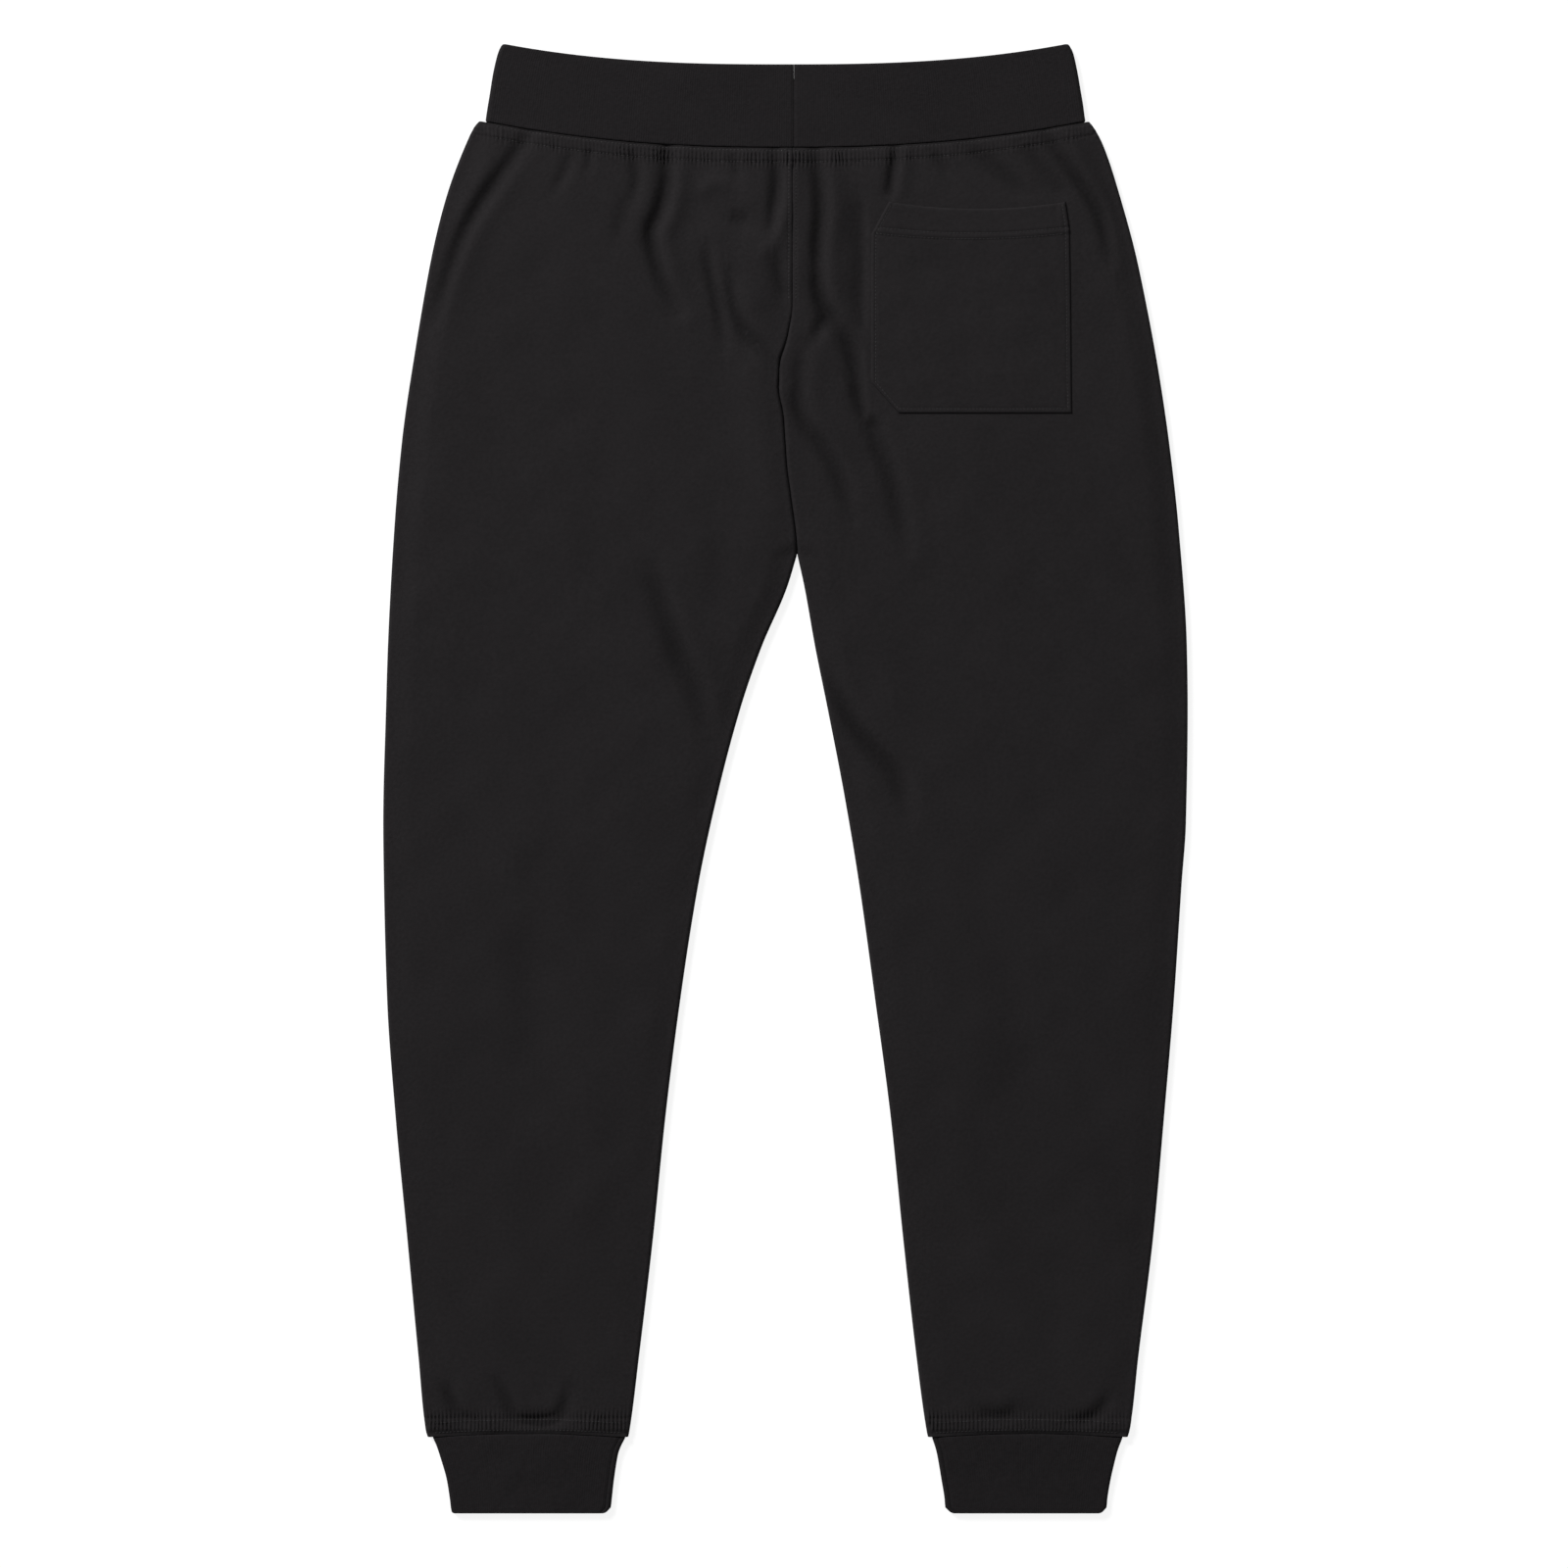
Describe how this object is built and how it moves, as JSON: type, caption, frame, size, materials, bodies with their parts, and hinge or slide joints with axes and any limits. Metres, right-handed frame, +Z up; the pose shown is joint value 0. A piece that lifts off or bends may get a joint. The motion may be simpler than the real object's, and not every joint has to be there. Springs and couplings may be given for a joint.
{
  "type": "jogger sweatpants laid flat, back side up",
  "caption": "Black jogger sweatpants laid flat with the back up: rib waistband, tapered fleece legs, patch back pocket and rib ankle cuffs.",
  "frame": {"origin": "under the middle of the garment's box, on the surface it lies on", "axes": "+Z up out of the back of the garment; +Y from the cuffs to the waist; +X towards the wearer's right leg"},
  "size_m": [0.5696, 1.04, 0.0095],
  "materials": {
    "fleece": "near-black cotton fleece with a fine jersey face",
    "rib": "near-black rib knit, folded double"
  },
  "bodies": {
    "root": {"back_panel_left": "fleece", "back_panel_right": "fleece", "front_panel_left": "fleece", "front_panel_right": "fleece", "back_pocket": "fleece", "waistband": "rib", "cuff_left": "rib", "cuff_right": "rib"}
  },
  "joints": []
}
